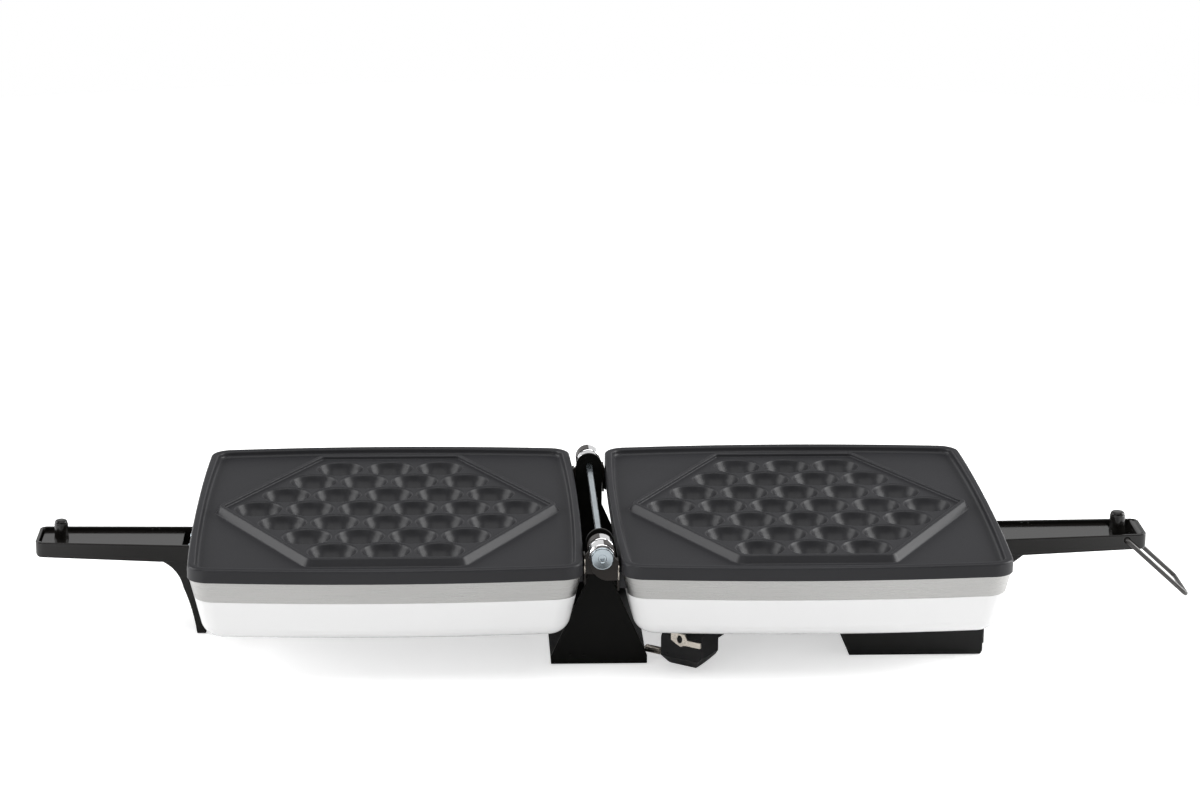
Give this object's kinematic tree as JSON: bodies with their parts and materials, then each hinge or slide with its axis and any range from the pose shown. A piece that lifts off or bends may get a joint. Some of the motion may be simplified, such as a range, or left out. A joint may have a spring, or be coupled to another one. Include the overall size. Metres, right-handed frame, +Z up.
{
  "type": "bubble waffle maker",
  "caption": "Hinged bubble waffle iron on a sheet stand, open flat, with trough handles, a wire latch bail, a control box with a rocker switch and a mains lead.",
  "frame": {"origin": "on the floor under the hinge pin, at the middle of the stand's floor plate", "axes": "+X along both halves towards the base half and its latch, +Y along the hinge pin to the rear, +Z up"},
  "size_m": [0.7386, 0.2606, 0.0893],
  "materials": {
    "black_sheet": "gloss",
    "zinc_steel": "satin",
    "nonstick_cast": "satin non-stick coat",
    "brushed_band": "brushed",
    "white_shell": "gloss",
    "heater_tube": "satin",
    "reflector_sheet": "mill finish",
    "arm_sheet": "semi gloss",
    "chrome_knuckle": "polished",
    "black_gloss": "gloss",
    "dark_wire": "blackened",
    "box_plastic": "satin",
    "switch_black": "satin",
    "switch_green": "gloss",
    "thermostat_metal": "satin",
    "fuse_sleeve": "matte",
    "terminal_white": "matte",
    "cord_black": "satin",
    "plug_black": "satin",
    "nickel": "polished"
  },
  "bodies": {
    "stand": {"stand_frame": "black_sheet", "hinge_pin": "zinc_steel", "hinge_pin_nut": "zinc_steel", "hinge_spacer": "black_sheet"},
    "base": {"base_plate": "nonstick_cast", "base_band": "brushed_band", "base_shell": "white_shell", "base_element": "heater_tube", "base_reflector": "reflector_sheet", "base_arm_front": "arm_sheet", "base_arm_rear": "arm_sheet", "base_knuckle_front": "chrome_knuckle", "base_knuckle_rear": "chrome_knuckle", "base_handle": "black_gloss", "base_post": "black_gloss", "base_hinge_screws": "zinc_steel", "base_handle_screws": "zinc_steel", "base_shell_screws": "zinc_steel", "control_box": "box_plastic", "box_screws": "zinc_steel", "switch_housing": "switch_black", "thermostat": "thermostat_metal", "thermal_fuse": "fuse_sleeve", "terminal_block": "terminal_white", "cable_gland": "cord_black", "mains_cord_box_end": "cord_black", "mains_cord_coil": "cord_black", "mains_cord_plug_end": "cord_black", "plug_body": "plug_black", "plug_pins": "nickel", "plug_earth_clip": "nickel"},
    "lid": {"lid_plate": "nonstick_cast", "lid_band": "brushed_band", "lid_shell": "white_shell", "lid_element": "heater_tube", "lid_reflector": "reflector_sheet", "lid_arm_front": "arm_sheet", "lid_arm_rear": "arm_sheet", "lid_knuckle_front": "chrome_knuckle", "lid_knuckle_rear": "chrome_knuckle", "lid_handle": "black_gloss", "lid_post": "black_gloss", "lid_hinge_screws": "zinc_steel", "lid_handle_screws": "zinc_steel", "lid_shell_screws": "zinc_steel"},
    "bail": {"latch_bail": "dark_wire"},
    "rocker": {"switch_rocker": "switch_green"}
  },
  "joints": [
    {"name": "base_hinge", "type": "hinge", "parent": "stand", "child": "base", "pos_m": [0, 0, 0.0806], "axis": [0, -1, 0], "range_deg": [0, 180]},
    {"name": "lid_hinge", "type": "hinge", "parent": "stand", "child": "lid", "pos_m": [0, 0, 0.0806], "axis": [0, 1, 0], "range_deg": [0, 180]},
    {"name": "latch_pivot", "type": "hinge", "parent": "base", "child": "bail", "pos_m": [0.342, 0, 0.058], "axis": [0, -1, 0], "range_deg": [-77.7, 131.8]},
    {"name": "switch_pivot", "type": "hinge", "parent": "base", "child": "rocker", "pos_m": [0.2405, -0.0525, 0.015], "axis": [0, -1, 0], "range_deg": [0, 20]}
  ]
}
